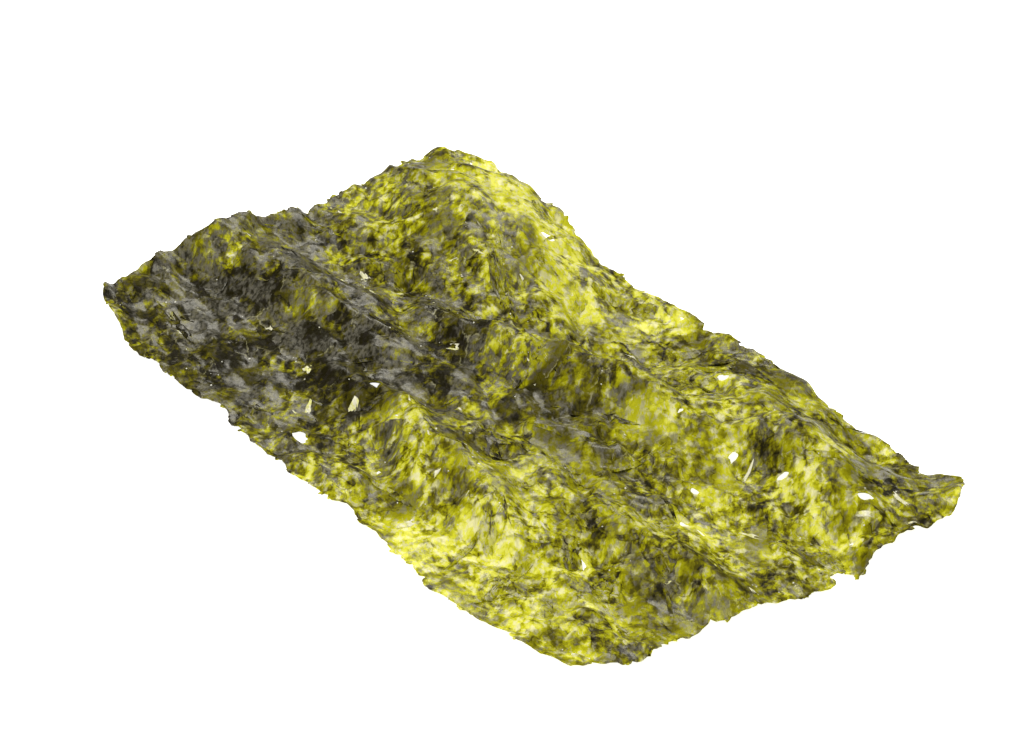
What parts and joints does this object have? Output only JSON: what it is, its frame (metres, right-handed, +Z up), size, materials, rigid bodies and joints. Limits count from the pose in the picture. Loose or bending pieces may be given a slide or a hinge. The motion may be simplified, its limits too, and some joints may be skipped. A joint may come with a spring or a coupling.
{
  "type": "seaweed snack",
  "caption": "Crisp cut sheet of roasted, oiled laver, with long ridges, curled corners, ragged edges and small see-through holes.",
  "frame": {"origin": "middle of the sheet, on the surface it lies on", "axes": "+X along the long side of the sheet, +Y along its short side, +Z up from the surface it lies on"},
  "size_m": [0.0894, 0.0518, 0.008],
  "materials": {
    "laver": "roasted green-black film with an oily gloss, yellow-green where it is thin"
  },
  "bodies": {
    "root": {"laver_sheet": "laver"}
  },
  "joints": []
}
